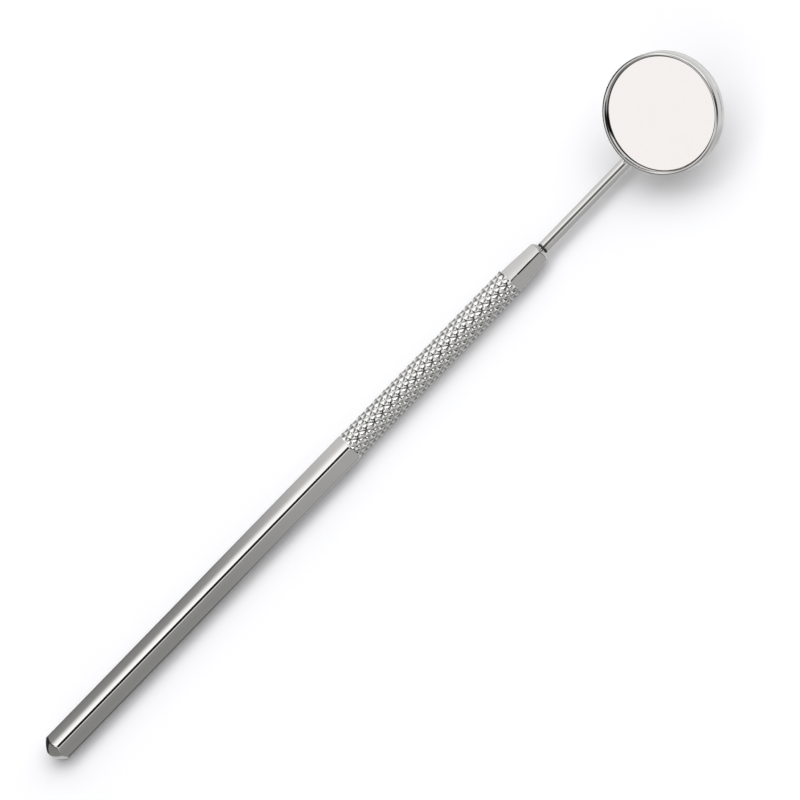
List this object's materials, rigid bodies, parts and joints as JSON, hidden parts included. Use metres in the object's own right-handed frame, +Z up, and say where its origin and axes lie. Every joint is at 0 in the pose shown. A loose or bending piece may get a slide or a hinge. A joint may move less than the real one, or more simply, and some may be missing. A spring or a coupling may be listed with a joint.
{
  "type": "mouth mirror",
  "caption": "Dental mouth mirror: hexagonal steel handle with a knurled round grip and tapered neck, and a screw-in round mirror head tilted back on a bent wire stem.",
  "frame": {"origin": "middle of the plain shank's bottom flat, which rests on the table", "axes": "+X along the handle towards the mirror head, +Z up away from the table, +Y to the left when looking along +X"},
  "size_m": [0.17, 0.0221, 0.0171],
  "materials": {
    "satin_steel": "stainless steel, drawn and polished along the bar",
    "polished_steel": "stainless steel, bright polish",
    "silver_solder": "silver solder, as flowed",
    "black_rubber": "matt",
    "cork_paper": "matt pressed fibre",
    "clear_glass": "float glass, ground edge",
    "mirror_face": "front-surface metal coating"
  },
  "bodies": {
    "handle": {"handle": "satin_steel"},
    "seal": {"seal_ring": "black_rubber"},
    "mirror": {"stem": "polished_steel", "solder_fillet": "silver_solder", "head_cup": "polished_steel", "bezel_ring": "polished_steel", "cushion_disc": "cork_paper", "mirror_glass": "clear_glass", "mirror_coating": "mirror_face"}
  },
  "joints": [
    {"name": "thread_travel", "type": "slide", "parent": "handle", "child": "seal", "axis": [1, 0, 0], "range_m": [0, 0.0054]},
    {"name": "stem_screw", "type": "hinge", "parent": "seal", "child": "mirror", "pos_m": [0.0877, 0, 0.00275], "axis": [1, 0, 0], "range_deg": [0, 4320]}
  ],
  "couplings": [
    {"joint": "thread_travel", "follows": "stem_screw", "m_per_rad": 0.000071619}
  ]
}
